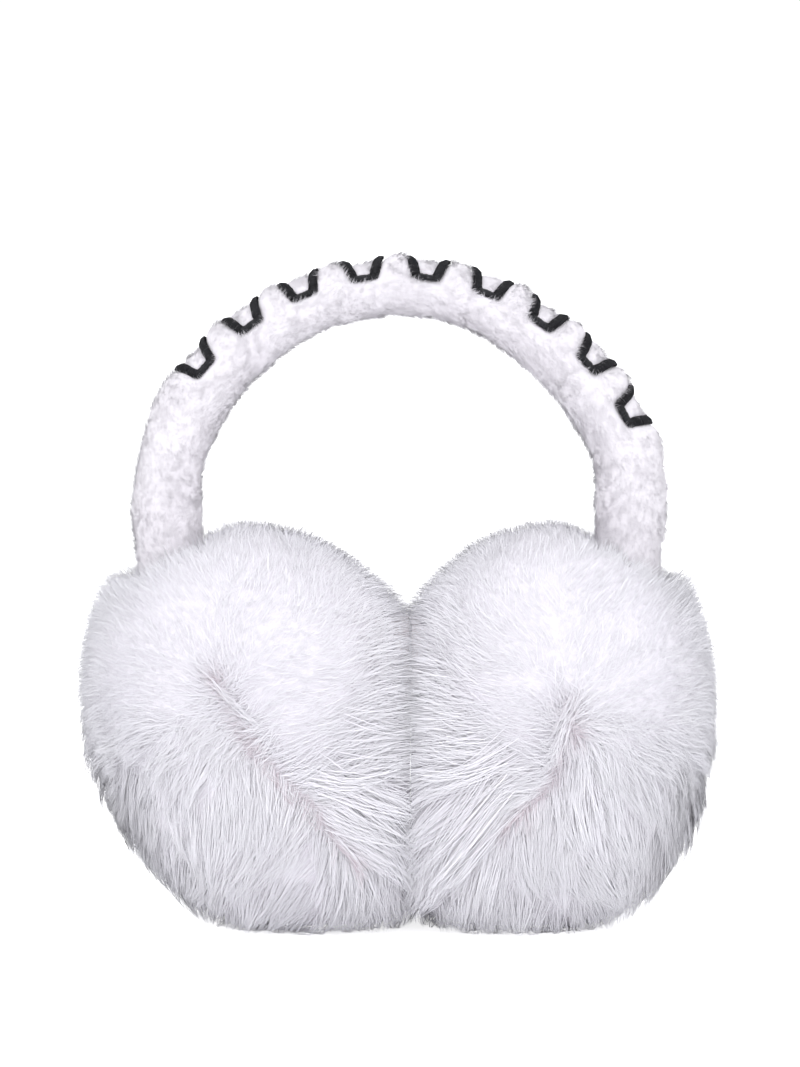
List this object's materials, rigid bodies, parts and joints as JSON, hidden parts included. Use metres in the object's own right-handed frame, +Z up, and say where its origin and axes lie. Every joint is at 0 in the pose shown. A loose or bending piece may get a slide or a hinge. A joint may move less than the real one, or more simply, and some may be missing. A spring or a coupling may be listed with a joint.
{
  "type": "fur earmuffs",
  "caption": "Earmuffs standing on their pads: a plush-covered arched headband with stitched hexagons, and two round long-haired fur ear pads with short-haired ear facings.",
  "frame": {"origin": "on the floor, under the middle of the whole, between the two pads", "axes": "+X from the left pad to the right one as seen in front, +Y away from the viewer, +Z up through the crown of the headband"},
  "size_m": [0.2202, 0.1354, 0.2298],
  "materials": {
    "plush": "short white plush pile, matt, brushed along the band",
    "long_fur": "long soft white faux fur with a faint sheen",
    "ear_plush": "short off-white plush with a faint pink cast",
    "thread": "black satin-stitched embroidery thread"
  },
  "bodies": {
    "root": {"headband": "plush", "motif_1": "thread", "motif_2": "thread", "motif_3": "thread", "motif_4": "thread", "motif_5": "thread", "motif_6": "thread", "motif_7": "thread", "motif_8": "thread", "motif_9": "thread", "left_fur_pad": "long_fur", "right_fur_pad": "long_fur", "left_ear_facing": "ear_plush", "right_ear_facing": "ear_plush"}
  },
  "joints": []
}
